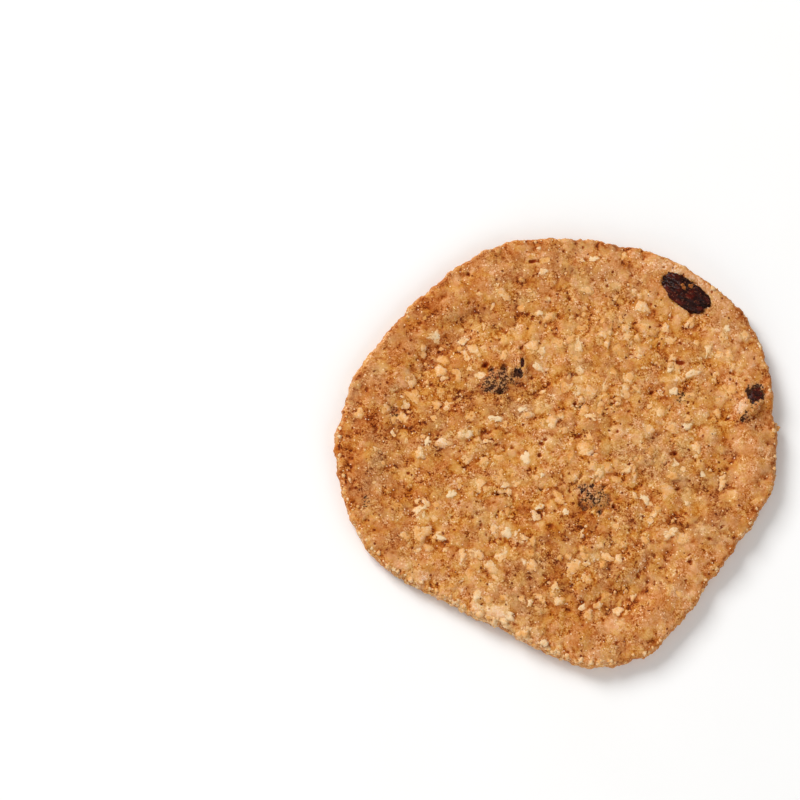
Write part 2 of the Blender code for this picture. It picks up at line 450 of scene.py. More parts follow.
def jittered_places(spacing, shake, seed):
    """Places all over the cookie on a shaken hexagonal grid, in random order."""
    dice = np.random.default_rng(seed)
    found = []
    for row in range(int(MAP_WIDTH / (spacing * ROW_STEP))):
        for column in range(int(MAP_WIDTH / spacing)):
            x = (column + row % 2 / 2) * spacing - MAP_WIDTH / 2 + dice.normal(0, shake)
            y = row * spacing * ROW_STEP - MAP_WIDTH / 2 + dice.normal(0, shake)
            from_edge = edge_towards(math.atan2(y, x)) - math.hypot(x, y)
            if from_edge > EDGE_MARGIN:
                found.append((x, y, from_edge))
    dice.shuffle(found)
    return found


print("map is", MAP_WIDTH, "mm wide")

# %% Scatter the oats
OAT_SPACING = 2.6
OAT_HALF_LENGTH = 1.6
RIM_WIDTH = 10.0
BARE_IN_RIM = 0.22  # the share of the oats that lie bare there
BARE_ELSEWHERE = 0.55
PALE_OATS = 0.06
bare_oats = []
dice = np.random.default_rng(31)
oat_places = jittered_places(OAT_SPACING, 0.75, 32)
for x, y, from_edge in oat_places:
    in_rim = from_edge < RIM_WIDTH * (1 - dryness(math.atan2(y, x)))
    along = float(np.clip(dice.lognormal(math.log(OAT_HALF_LENGTH), 0.30), 0.8, 2.6))
    lift = dice.normal(0.02, 0.12) - (0.07 if in_rim else 0.0)
    flake = new_flake(x, y, along, along * dice.uniform(0.68, 1.0), lift, dice.uniform(0.08, 0.28), dice)
    flake["tone"] = dice.uniform(0, 1)
    flake["pale"] = dice.uniform(0.5, 1.0) if dice.random() < PALE_OATS else 0.0
    lay_flake(flake, dice.uniform(0.1, 0.8), 0.4 * flake["pale"])
    if dice.random() < (BARE_IN_RIM if in_rim else BARE_ELSEWHERE) and lies_clear(flake):
        bare_oats.append(flake)
print(len(oat_places), "oats,", len(bare_oats), "of them bare")

# %% [markdown]
# ## Small bits and chosen oats
# Broken oats and sugar crumbs, about a millimetre long, make the surface grainy. They are laid with the
# same tool. The largest and palest oats are what the eye finds first, so those get their own places, and
# lie on top of what is there.

# %% Scatter small bits
BIT_SPACING = 1.3
BARE_BITS_IN_RIM = 0.12
BARE_BITS_ELSEWHERE = 0.20
PALE_BITS = 0.08
bare_bits = []
dice = np.random.default_rng(41)
bit_places = jittered_places(BIT_SPACING, 0.5, 42)
for x, y, from_edge in bit_places:
    along = dice.uniform(0.25, 0.7)
    in_rim = from_edge < RIM_WIDTH
    lift = dice.normal(0.0, 0.09) - (0.03 if in_rim else 0.0)
    bit = new_flake(x, y, along, along * dice.uniform(0.6, 1.0), lift, 0.08, dice)
    bit["tone"] = dice.uniform(0, 1)
    bit["pale"] = dice.uniform(0.3, 0.8) if dice.random() < PALE_BITS else 0.0
    lay_flake(bit, dice.uniform(0, 0.7), 0.4 * bit["pale"])
    if dice.random() < (BARE_BITS_IN_RIM if in_rim else BARE_BITS_ELSEWHERE) and lies_clear(bit):
        bare_bits.append(bit)
print(len(bit_places), "bits,", len(bare_bits), "of them bare")

# %% Lay the chosen oats
CHOSEN_LIFT = 0.11  # over whatever lies there already
# x, y, half length, half width, heading, paleness
CHOSEN_OATS = (
    (-13.5, 6.1, 1.6, 0.9, 0.1, 0.9), (-7.7, 8.3, 1.0, 0.6, 0.3, 0.8), (-3.4, 21.0, 1.2, 0.9, 0.6, 0.6),
    (4.0, 12.3, 2.0, 1.5, 0.5, 0.45), (4.1, 22.1, 2.6, 1.4, 1.5, 0.3), (-19.8, 2.9, 1.7, 1.3, 0.4, 0.3),
    (-4.3, 17.6, 1.5, 0.75, -0.9, 0.7), (-16.7, 15.3, 1.6, 1.5, 0.0, 0.25),
    (-6.9, -2.0, 1.5, 1.1, 1.2, 0.9), (-4.3, -12.3, 1.1, 0.8, 0.1, 1.0), (-3.6, -5.7, 0.6, 0.5, 0.1, 1.0),
    (1.3, -13.6, 0.95, 0.75, 0.1, 0.7), (-22.6, -9.9, 1.2, 1.0, 0.6, 0.9),
    (-25.0, -19.2, 1.1, 0.65, -0.4, 1.0), (27.3, 5.4, 1.2, 0.8, 0.4, 0.8), (24.5, 12.8, 1.1, 1.0, 0.5, 0.7),
    (23.9, 17.5, 0.8, 0.7, 1.3, 0.9), (28.7, 16.6, 1.9, 0.8, 0.2, 0.5), (32.2, 22.4, 1.9, 1.0, 1.3, 0.3),
    (36.0, 26.4, 1.2, 0.8, 0.7, 0.6), (18.0, -10.2, 1.6, 0.9, -0.8, 0.5), (24.6, -2.9, 1.5, 1.0, -0.8, 0.5),
    (23.0, -17.5, 1.9, 1.5, 0.6, 0.3), (-29.2, -1.2, 1.4, 1.2, 1.2, 0.5),
    (-29.2, -13.4, 1.7, 1.1, 0.5, 0.45), (-27.6, 0.9, 1.3, 0.8, 1.3, 0.8),
    (-11.3, -35.4, 1.7, 0.9, -0.4, 0.8), (-17.3, -31.2, 1.3, 1.0, 1.4, 0.7),
    (4.6, -33.6, 1.3, 0.8, 0.6, 0.8), (-1.1, -29.6, 1.3, 1.0, 1.2, 0.4), (-6.4, -32.8, 0.9, 0.6, 1.2, 0.7),
    (8.0, 41.2, 1.2, 0.8, 0.2, 0.5), (-2.7, 38.3, 1.2, 0.8, 0.1, 0.4), (6.3, 34.5, 1.7, 0.9, -0.3, 0.15),
    (-3.7, 29.2, 0.9, 0.7, 0.0, 0.4), (8.6, -4.9, 1.4, 0.9, 1.1, 0.35),
)
settled = blur(surface, 0.5) - slow_bed
for x, y, along, across, heading, paleness in CHOSEN_OATS:
    i, j = (int(round((at - places[0]) / CELL)) for at in (x, y))
    flake = new_flake(x, y, along, across, settled[i, j] + CHOSEN_LIFT, 0.08, dice)
    flake["heading"] = heading
    flake["slant"] = 0.4 * flake["slant"]
    flake["tone"], flake["pale"] = 0.8, paleness
    lay_flake(flake, 0.6, 0.4 * paleness)
    bare_oats.append(flake)
print(len(CHOSEN_OATS), "chosen oats")

# %% [markdown]
# ## Raisins and the dough over them
# A raisin that lies just under the top pushes the dough up, and the film over it tears. So near each
# raisin the dough is set to the raisin's own top, plus a cover that changes from place to place: where
# the cover is below zero the raisin looks out, through a ragged window. A thin cover lets the dark
# fruit show through as a grey stain.

# %% Tear windows into the film
# x, y, half length, half width, heading, how far the dough is torn back
WINDOWS = (
    (-8.2, 15.9, 1.35, 0.85, 2.1, 1.0),
    (-7.5, 18.2, 0.85, 0.50, 1.4, 1.0),
    (41.5, 12.2, 2.15, 2.0, 0.9, 1.0),
    (38.9, 6.7, 0.55, 0.40, 1.2, 0.8),
    (-12.2, 11.9, 1.1, 0.45, 0.3, 0.5),
    (-10.5, 12.7, 0.55, 0.5, 1.0, 0.5),
    (-14.6, 12.6, 0.8, 0.35, 0.5, 0.4),
    (-13.6, 16.6, 0.6, 0.3, -0.6, 0.4),
    (6.9, -8.0, 0.50, 0.33, 1.3, 0.6),
    (4.8, -9.2, 0.45, 0.35, 0.6, 0.6),
)
torn_back = np.zeros((CELLS, CELLS))
for x, y, along, across, heading, depth in WINDOWS:
    reach = oval(X - x, Y - y, heading, along, across) + 0.20 * cloud(0.9, 54)
    torn_back = np.maximum(torn_back, depth * (1 - ease(reach, 0.8, 1.1)))
print(len(WINDOWS), "windows")

# %% Fit the dough to the raisins
# mean cover, how much it varies, how raggedly its border is torn, how far it reaches, how dark it stains
COVERS = {
    "raisin_rim": (-0.9, 0.05, 0.07, 0.98, 0.4),
    "raisin_edge": (0.42, 0.10, 0.12, 1.15, 0.7),
    "raisin_left": (0.19, 0.10, 0.16, 1.10, 1.0),
    "raisin_sliver": (0.36, 0.05, 0.08, 1.10, 0.25),
    "raisin_low": (0.20, 0.08, 0.18, 1.10, 0.9),
}
STAIN_DEPTH = 0.22  # how thick a film the dark fruit still shows through
stain = np.zeros((CELLS, CELLS))
ragged = 0.6 * cloud(1.0, 51) + 0.8 * cloud(0.55, 52)
torn_border = cloud(1.4, 55)
for name, (middle, heading, along, across, depth) in raisins.items():
    cover, uneven, torn_share, wide, darkness = COVERS[name]
    reach = oval(X - middle[0], Y - middle[1], heading, along, across)
    raisin_top = middle[2] + depth * np.sqrt(np.clip(1 - reach**2, 0, 1))
    film = raisin_top + cover + uneven * ragged - torn_back
    torn_reach = reach + torn_share * torn_border
    belongs = 1 - ease(torn_reach, wide - 0.3, wide)
    surface = surface * (1 - belongs) + film * belongs
    oat *= 1 - belongs
    pale *= 1 - belongs
    thin = np.exp(-np.clip(surface - raisin_top, 0, 9) / STAIN_DEPTH)
    stain = np.maximum(stain, darkness * thin * (1 - ease(torn_reach, 0.6, 1.15)))
stain = np.maximum(stain, ease(torn_back, 0.55, 0.85))
print("stained by raisins:", round(stain[inset > 0].sum() * CELL**2), "square mm")

# %% [markdown]
# ## The collar of the rim raisin, and cream dough
# The largest raisin lies at the very rim. The dough outside it could not spread, so it rolled up
# against the fruit as a smooth, light collar. Elsewhere thick dough stayed as pale as cream: beside the
# edge raisin, and along the dry edge at the lower left.

# %% Raise the collar
COLLAR_HEIGHT = 0.35
rim_middle, rim_heading, rim_along, rim_across, _ = raisins["raisin_rim"]
outwards = np.array(rim_middle[:2]) / math.hypot(*rim_middle[:2])
reach = oval(X - rim_middle[0], Y - rim_middle[1], rim_heading, rim_along, rim_across)
outer_side = ease((X - rim_middle[0]) * outwards[0] + (Y - rim_middle[1]) * outwards[1], -1.5, 2.0)
collar = ease(reach, 0.98, 1.15) * (1 - ease(reach, 1.5, 1.9)) * outer_side
surface += collar * (slow_bed + COLLAR_HEIGHT - surface) * 0.8
oat *= 1 - collar
print("collar covers", round(collar.sum() * CELL**2), "square mm")

# %% Lighten the cream dough
# x, y, half length, half width, heading, strength
CREAM = (
    (38.4, 9.3, 2.6, 1.1, 1.1, 0.8),
    (-13.5, -34.6, 2.4, 1.4, -0.3, 0.5),
)
for x, y, along, across, heading, strength in CREAM:
    reach = oval(X - x, Y - y, heading, along, across) + 0.3 * cloud(1.2, 56)
    pale = np.maximum(pale, strength * (1 - ease(reach, 0.6, 1.3)))
dry_edge = dryness(bearing_here) * (1 - ease(inset + 1.0 * cloud(1.5, 57), 1.5, 6.0))
pale = np.maximum(pale, 0.35 * dry_edge)
print("cream dough on", round(100 * (pale[inset > 0] > 0.2).mean()), "% of the top")

# %% [markdown]
# ## Raisins that stay buried
# A few raisins lie deeper. Nothing of them shows but a faint grey tint and a dark pinhole or two.

# %% Tint the dough over buried raisins
# x, y, half length, half width, heading, strength
BURIED = (
    (-34.6, 6.9, 2.4, 1.3, 1.7, 0.5),
    (-40.4, -11.7, 2.0, 1.2, 1.2, 0.4),
    (26.3, 11.5, 2.4, 1.6, 0.5, 0.45),
    (4.6, 9.0, 1.9, 0.9, -0.4, 0.6),
    (2.9, 15.8, 1.1, 0.8, 0.3, 0.35),
    (39.5, 7.3, 1.6, 0.9, 1.2, 0.6),
)
speckle = ease(cloud(0.8, 53), -0.5, 1.0)
for x, y, along, across, heading, strength in BURIED:
    reach = oval(X - x, Y - y, heading, along, across)
    stain = np.maximum(stain, strength * (1 - ease(reach, 0.3, 1.25)) * (0.35 + 0.65 * speckle))
print(len(BURIED), "buried raisins")

# %% [markdown]
# ## Pores
# Steam leaves the dough through small holes. They are widest and deepest in the middle, and the rim has
# many fine ones. Each is a pit with steep sides. A map of the pores also tells the paint where it is
# dark, partly browner crust and partly painted shade. Holes under a third of a millimetre are left to
# the paint, as dark spots of painted shade.

# %% How a pore is sunk
pore = np.zeros((CELLS, CELLS))


def sink_pore(x, y, half, depth, dice):
    """Sinks one steep pit and marks it."""
    cells, dx, dy = patch_round(x, y, 1.6 * half + 0.3)
    if not dx.size:
        return
    pit = new_flake(x, y, half, half * dice.uniform(0.6, 1.0), 0, 0, dice)
    inside = 1 - ease(reach_in(pit, dx, dy), 0.55, 1.15)
    surface[cells] -= depth * inside
    pore[cells] = np.maximum(pore[cells], inside)


print("pore tool ready")

# %% The chosen pores
# x, y, half width, depth
CHOSEN_PORES = (
    (-19.9, -4.2, 0.45, 1.0), (-12.9, -9.7, 0.45, 1.1), (-17.0, -9.8, 0.32, 0.8), (-3.8, -8.6, 0.48, 1.2),
    (-4.1, -1.6, 0.42, 1.0), (2.1, -5.3, 0.32, 0.8), (-1.9, -16.4, 0.36, 0.9), (-13.7, -19.9, 0.40, 0.7),
    (-19.0, -26.3, 0.60, 1.0), (-3.5, -26.9, 0.30, 0.8), (1.9, -25.8, 0.36, 0.8), (-13.1, -14.5, 0.40, 0.7),
    (19.9, 12.5, 0.50, 1.1), (24.9, 12.7, 0.45, 1.1), (12.8, 22.0, 0.48, 0.9), (21.7, 22.9, 0.42, 0.9),
    (20.8, 18.5, 0.38, 0.9), (9.3, 9.0, 0.45, 1.0), (11.3, 9.8, 0.35, 0.9), (7.2, -1.1, 0.60, 1.2),
    (7.9, 0.1, 0.38, 1.0), (18.5, -0.4, 0.42, 1.0), (16.3, -2.0, 0.46, 1.0), (24.6, -0.6, 0.52, 1.1),
    (24.0, 0.8, 0.34, 0.9), (29.7, 0.4, 0.40, 0.7), (22.5, -2.9, 0.42, 0.9), (36.1, 7.1, 0.36, 0.8),
    (34.0, 11.1, 0.34, 0.8), (11.5, -12.2, 0.48, 1.1), (30.4, -5.2, 0.40, 0.9), (25.1, -8.2, 0.38, 0.9),
    (18.7, -11.4, 0.40, 0.8), (17.5, -14.3, 0.36, 0.8), (27.3, -23.7, 0.50, 0.9), (24.8, -30.6, 0.40, 0.8),
    (31.6, -18.9, 0.34, 0.8), (-26.7, 13.5, 0.40, 0.9), (-42.0, 7.5, 0.40, 0.8), (-40.3, 12.3, 0.34, 0.8),
    (-28.2, -2.4, 0.34, 0.9), (-24.5, 14.5, 0.36, 0.8), (-27.5, -12.1, 0.45, 1.0), (-22.5, -14.8, 0.32, 0.8),
    (-33.5, -26.3, 0.40, 0.8), (-18.0, -31.0, 0.42, 0.9), (-15.4, 17.7, 0.75, 0.8), (1.0, 12.9, 0.40, 1.0),
    (-5.4, 15.2, 0.42, 0.9), (2.9, 16.1, 0.40, 1.0), (-7.7, 21.5, 0.42, 0.7), (3.5, 9.7, 0.42, 1.0),
    (5.6, 9.5, 0.40, 1.0), (5.4, 7.7, 0.38, 0.9), (-3.7, 1.1, 0.42, 0.8), (-14.1, 1.8, 0.36, 0.9),
    (3.8, 2.5, 0.42, 0.7), (-18.6, 37.4, 0.44, 0.9), (2.0, 38.2, 0.34, 0.8), (15.2, 35.8, 0.38, 0.8),
    (9.4, 27.5, 0.38, 0.9), (-13.4, 31.0, 0.34, 0.8), (-18.6, 31.2, 0.34, 0.8), (-2.0, -31.2, 0.36, 0.8),
)
print(len(CHOSEN_PORES), "chosen pores")

# %% Sink cracks, the chosen pores and many more
# start, end, half width: narrow cracks, as dark as pores
CRACKS = (
    ((-5.6, 40.5), (-1.8, 40.6), 0.26),
    ((15.2, 20.3), (17.4, 20.0), 0.26),
    ((25.2, 19.0), (26.8, 18.9), 0.26),
    ((-26.6, 17.0), (-26.5, 19.0), 0.22),
    ((16.0, -26.3), (16.8, -27.4), 0.22),
    ((8.9, 8.4), (9.2, 9.8), 0.28),
)
CRACK_DEPTH = 0.7
dice = np.random.default_rng(61)
for x, y, half, depth in CHOSEN_PORES:
    sink_pore(x, y, half, depth, dice)
    sink_pore(x + dice.normal(0, 0.35), y + dice.normal(0, 0.35), 0.6 * half, depth, dice)
for start, end, half_width in CRACKS:
    away = far_from_line(start, end) + 0.12 * cloud(1.2, 63)
    gap = 1 - ease(away, 0.5 * half_width, 1.4 * half_width)
    surface -= CRACK_DEPTH * gap
    pore = np.maximum(pore, gap)
pore_places = jittered_places(5.2, 2.0, 62)
for x, y, from_edge in pore_places:
    widest = 0.42 if from_edge > 9 else 0.32
    sink_pore(x, y, dice.uniform(0.2, widest), dice.uniform(0.3, 0.9), dice)
print(len(CRACKS), "cracks and", len(pore_places), "random pores")

# %% [markdown]
# ## One coat over everything
# Melted sugar and butter run over oats and crumb alike and soften their corners. A slight blur does
# that. What lies lower than its surroundings is painted darker and redder, as painted shade, so three
# maps find it: narrow crevices, hollows between oats, and wide basins.

# %% Coat the surface and find its hollows
surface = 0.35 * surface + 0.65 * blur(surface, 0.22)
oat, pale = blur(oat, 0.15), blur(pale, 0.1)
hollow = blur(surface, 1.3) - surface
crevice = blur(surface, 0.45) - surface
basin = blur(surface, 5.0) - blur(surface, 0.9)
CEILING = plain_box[1].z / MM + 0.1
surface = np.minimum(surface, CEILING)
print("surface from", round(surface[inset > 2].min(), 2), "to", round(surface[inset > 2].max(), 2), "mm")
for name, values in (("hollow", hollow), ("crevice", crevice), ("basin", basin)):
    print(name, "spread", round(values[inset > 3].std(), 3))

# %% [markdown]
# ## Beside the bare flakes
# Sugar runs off a bare flake and browns in the corner round it, and shade falls in that corner too. So
# the paint draws a thin amber line round each oat, partly browner sugar and partly painted shade, and the
# map keeps where bare flakes will show, a little wider than they are.

# %% Find the corners round bare flakes
BARE_LIFT = 0.03  # how far a bare flake stands over its plate on the map
beside = np.zeros((CELLS, CELLS))
for flake in bare_oats + bare_bits:
    cells, dx, dy = patch_under(flake)
    reach = reach_in(flake, dx, dy)
    above = plate(flake, dx, dy, reach, slow_bed[cells]) + BARE_LIFT > surface[cells]
    beside[cells] = np.maximum(beside[cells], above & (reach < 1))
print("bare flakes show on", round(100 * beside[inset > 0].mean()), "% of the top")
beside = blur(beside, 0.30)

# %% [markdown]
# ## The dough's mesh
# A disc could be cut from a square grid, but its edge would be a staircase. Here a square grid is
# wrapped onto the disc instead, so that the grid's border becomes the round edge, and every face stays
# close to square. The underside is smoother, so its grid is half as fine.

# %% A grid wrapped onto a disc
def wrapped_grid(cells):
    """The points of a square grid laid on a disc of radius 1, as x and y arrays."""
    side = np.linspace(-1, 1, cells + 1)
    a, b = np.meshgrid(side, side, indexing="ij")
    wide = np.abs(a) >= np.abs(b)
    safe_a, safe_b = np.where(a == 0, 1, a), np.where(b == 0, 1, b)
    turn = np.where(wide, math.pi / 4 * b / safe_a, math.pi / 2 - math.pi / 4 * a / safe_b)
    reach = np.where(wide, a, b)
    return reach * np.cos(turn), reach * np.sin(turn)


def grid_faces(cells, first):
    """The squares of the grid, counted from point number first, facing up."""
    number = first + np.arange((cells + 1) ** 2).reshape(cells + 1, cells + 1)
    squares = (number[:-1, :-1], number[1:, :-1], number[1:, 1:], number[:-1, 1:])
    return np.stack(squares, -1).reshape(-1, 4)


def grid_border(cells, first):
    """The numbers of the grid's border points, in order, anticlockwise from above."""
    number = first + np.arange((cells + 1) ** 2).reshape(cells + 1, cells + 1)
    sides = (number[:-1, 0], number[-1, :-1], number[:0:-1, -1], number[0, :0:-1])
    return np.concatenate(sides)


TOP_CELLS = 260
UNDER_CELLS = TOP_CELLS // 2
print("the edge has", 4 * TOP_CELLS, "points")

# %% [markdown]
# ## The edge
# The side of the cookie is a rough, rounded lip. Rings of points run down it in a half circle, and
# noise pushes them in and out. Its outline is ragged at several scales, from slow bays to crumbs.

# %% The ragged edge
LIP = 0.9  # how far the lip's curve reaches in from the edge
LIP_RINGS = 9
ROUGH = ((4.2, 0.16, 71), (1.7, 0.07, 72), (0.7, 0.06, 73))
ragged_edge = plain_edge + sum(height * round_noise(lump, seed) for lump, height, seed in ROUGH)


def edge_of(bearing, rough):
    """The edge in these directions: 1 is the ragged one and 0 the plain one."""
    smooth = edge_towards(bearing)
    return smooth + rough * (edge_towards(bearing, ragged_edge) - smooth)


print("edge strays up to", round(np.abs(ragged_edge - plain_edge).max(), 2), "mm")

# %% Points of the top and the underside
def sample(values, x, y):
    """Reads a map between its cells."""
    i = np.clip((x - places[0]) / CELL, 0, CELLS - 1.001)
    j = np.clip((y - places[0]) / CELL, 0, CELLS - 1.001)
    a, b = i.astype(int), j.astype(int)
    u, v = i - a, j - b
    low = values[a, b] * (1 - u) + values[a + 1, b] * u
    high = values[a, b + 1] * (1 - u) + values[a + 1, b + 1] * u
    return low * (1 - v) + high * v


def disc_points(cells, lip):
    """The wrapped grid, stretched to the cookie's outline less the lip."""
    x, y = wrapped_grid(cells)
    reach, bearing = np.hypot(x, y).ravel(), np.arctan2(y, x).ravel()
    away = reach * (edge_of(bearing, reach**10) - lip)
    return away * np.cos(bearing), away * np.sin(bearing)


top_x, top_y = disc_points(TOP_CELLS, LIP)
top_z = sample(surface, top_x, top_y)
under_x, under_y = disc_points(UNDER_CELLS, LIP)
print("top points:", len(top_x), " underside points:", len(under_x))

# %% Rings of the lip
LIP_FOOT = 0.12
LIP_CRUMB = ((1.5, 0.18), (0.7, 0.20), (0.4, 0.12))
border = grid_border(TOP_CELLS, 0)
lip_x, lip_y, lip_z = [], [], []
border_bearing = np.arctan2(top_y[border], top_x[border])
border_edge = edge_of(border_bearing, 1.0)
for ring in range(1, LIP_RINGS + 1):
    turn = math.pi * ring / (LIP_RINGS + 1)
    height = LIP_FOOT + (top_z[border] - LIP_FOOT) * (1 + math.cos(turn)) / 2
    away = border_edge - LIP * (1 - math.sin(turn))
    x, y = away * np.cos(border_bearing), away * np.sin(border_bearing)
    for size, push in LIP_CRUMB:
        rough = [noise.noise(Vector(p) / size) for p in zip(x, y, height)]
        away = away + push * math.sin(turn) * np.array(rough)
    lip_x.append(away * np.cos(border_bearing))
    lip_y.append(away * np.sin(border_bearing))
    lip_z.append(height)
print("lip of", LIP_RINGS, "rings")

# %% [markdown]
# ## The underside
# The underside lay on the baking sheet: it is flat, with shallow dents where air was caught. Nothing
# may hang below the table, so the relief only goes up, into the cookie.

# %% Shape the underside
under_inset = edge_of(np.arctan2(under_y, under_x), 0.0) - np.hypot(under_x, under_y)
wide_dents = 0.16 * ease(cloud(2.6, 81), 0.4, 2.2)
small_dents = 0.22 * ease(cloud(1.1, 82), 1.1, 2.4)
raised_border = LIP_FOOT * (1 - ease(under_inset, LIP, LIP + 2.0))
under_z = sample(wide_dents + small_dents, under_x, under_y) + raised_border
print("dents up to", round(under_z.max(), 2), "mm deep")

# %% Join the points into one closed mesh
points_x = np.concatenate([top_x, *lip_x, under_x])
points_y = np.concatenate([top_y, *lip_y, under_y])
points_z = np.concatenate([top_z, *lip_z, under_z])
around = len(border)
first_lip = len(top_x)
first_under = first_lip + LIP_RINGS * around
rings = [border] + [first_lip + r * around + np.arange(around) for r in range(LIP_RINGS)]
faces = grid_faces(TOP_CELLS, 0).tolist()
for upper, lower in zip(rings[:-1], rings[1:]):
    faces += np.stack([upper, lower, np.roll(lower, -1), np.roll(upper, -1)], -1).tolist()
low_ring = rings[-1]
coarse = grid_border(UNDER_CELLS, first_under)
for k in range(len(coarse)):
    a, b, c = low_ring[2 * k], low_ring[2 * k + 1], low_ring[(2 * k + 2) % around]
    d, e = coarse[k], coarse[(k + 1) % len(coarse)]
    faces += [(a, d, b), (b, d, e), (b, e, c)]
faces += grid_faces(UNDER_CELLS, first_under)[:, ::-1].tolist()
faces = [tuple(int(p) for p in face) for face in faces]


def make_piece(name, points, faces):
    """A smooth-shaded mesh object from points in millimetres."""
    mesh = bpy.data.meshes.new(name)
    mesh.from_pydata((np.asarray(points) * MM).tolist(), [], faces)
    mesh.shade_smooth()
    made = bpy.data.objects.new(name, mesh)
    bpy.context.scene.collection.objects.link(made)
    return made


dough = make_piece("dough", np.stack([points_x, points_y, points_z], -1), faces)
triangles = sum(len(face) - 2 for face in faces)
print("dough:", len(points_x), "points,", triangles, "triangles")

# %% [markdown]
# ## Marks for the paint
# The maps said where oats, hollows, pores and stains are. They are stored on the mesh as named
# attributes, one number for each point, so that the paint can ask for them by name.

# %% Store the marks
def mark(piece, name, values):
    """Stores one number for each point."""
    stored = piece.data.attributes.new(name, "FLOAT", "POINT")
    stored.data.foreach_set("value", np.asarray(values, np.float32))


is_under = np.zeros(len(points_x))
is_under[first_under:] = 1
on_lip = np.zeros(len(points_x))
on_lip[first_lip:first_under] = 1
MAPS = {"oat": oat, "pale": pale, "hollow": hollow, "crevice": crevice, "basin": basin, "pore": pore}
MAPS |= {"beside": beside, "collar": collar, "toast": toast}
for name, values in MAPS.items():
    kept_on_lip = 1.0 if name == "pale" else 0.4
    on_top = sample(values, points_x, points_y) * (1 - is_under)
    mark(dough, name, on_top * (1 - (1 - kept_on_lip) * on_lip))
mark(dough, "rim", sample(rim, points_x, points_y))
mark(dough, "stain", sample(stain, points_x, points_y) * (1 - is_under))
mark(dough, "under", is_under)
print("marks:", [a.name for a in dough.data.attributes if a.data_type == "FLOAT"])

# %% [markdown]
# ## Mixing paint with nodes
# Every finish below is a graph of shader nodes. These helpers keep the graphs short: each adds one
# node, and returns the socket that the next one needs. They are made in three steps, each a class that
# takes over all that the one before can do: the material itself, its random textures, and the mixing of
# values and colours. Colours are written as a designer picks them, from 0 to 255, and turned into light
# values.

# %% Colours, and a material with its nodes
def colour(red, green, blue):
    """A colour from 0 to 255, as light values."""

    def light(value):
        value /= 255
        return value / 12.92 if value <= 0.04045 else ((value + 0.055) / 1.055) ** 2.4

    return light(red), light(green), light(blue), 1.0


class Bench:
    """A material and the nodes that feed its shader."""

    def __init__(self, name):
        self.material = bpy.data.materials.new(name)
        self.material.use_nodes = True
        self.tree = self.material.node_tree
        self.shader = self.tree.nodes["Principled BSDF"]
        self.where = self.tree.nodes.new("ShaderNodeTexCoord").outputs["Object"]

    def feed(self, socket, value):
        """Links a node's output to a socket, or sets a plain value on it."""
        if isinstance(value, bpy.types.NodeSocket):
            self.tree.links.new(value, socket)
        else:
            socket.default_value = value

    def mark(self, name):
        """The number that the mesh keeps under this name."""
        node = self.tree.nodes.new("ShaderNodeAttribute")
        node.attribute_name = name
        return node.outputs["Fac"]

    def wear(self, piece):
        """Puts the finish on a piece."""
        piece.data.materials.clear()
        piece.data.materials.append(self.material)

    def moved(self, shift):
        """The place on the object, shifted so that two textures don't line up."""
        node = self.tree.nodes.new("ShaderNodeMapping")
        node.inputs["Location"].default_value = (shift, 2 * shift, 0)
        self.feed(node.inputs["Vector"], self.where)
        return node.outputs["Vector"]


print("gold is", [round(part, 2) for part in colour(207, 148, 73)[:3]], "in light values")

# %% Random textures
class Grains(Bench):
    """Textures that vary from place to place."""

    def grain(self, size, detail=2.0, shift=0.0, output="Fac"):
        """Random lumps of this many millimetres, from 0 to 1 with a mean of a half."""
        node = self.tree.nodes.new("ShaderNodeTexNoise")
        self.feed(node.inputs["Vector"], self.moved(shift))
        node.inputs["Scale"].default_value = 1 / (size * MM)
        node.inputs["Detail"].default_value = detail
        return node.outputs[output]

    def shaken(self, size, push, shift=0.0):
        """The place on the object, pushed about by so many millimetres in lumps of this size."""
        node = self.tree.nodes.new("ShaderNodeVectorMath")
        node.operation = "MULTIPLY_ADD"
        self.feed(node.inputs[0], self.grain(size, 1.0, shift, "Color"))
        node.inputs[1].default_value = (push * MM,) * 3
        self.feed(node.inputs[2], self.moved(shift))
        return node.outputs["Vector"]

    def cells(self, size, where):
        """Granules of this many millimetres: how far it is to the middle of one, and its random number."""
        node = self.tree.nodes.new("ShaderNodeTexVoronoi")
        node.inputs["Scale"].default_value = 1 / (size * MM)
        self.feed(node.inputs["Vector"], where)
        split = self.tree.nodes.new("ShaderNodeSeparateColor")
        self.feed(split.inputs["Color"], node.outputs["Color"])
        return node.outputs["Distance"], split.outputs["Red"]


print("paint has grain and cells")

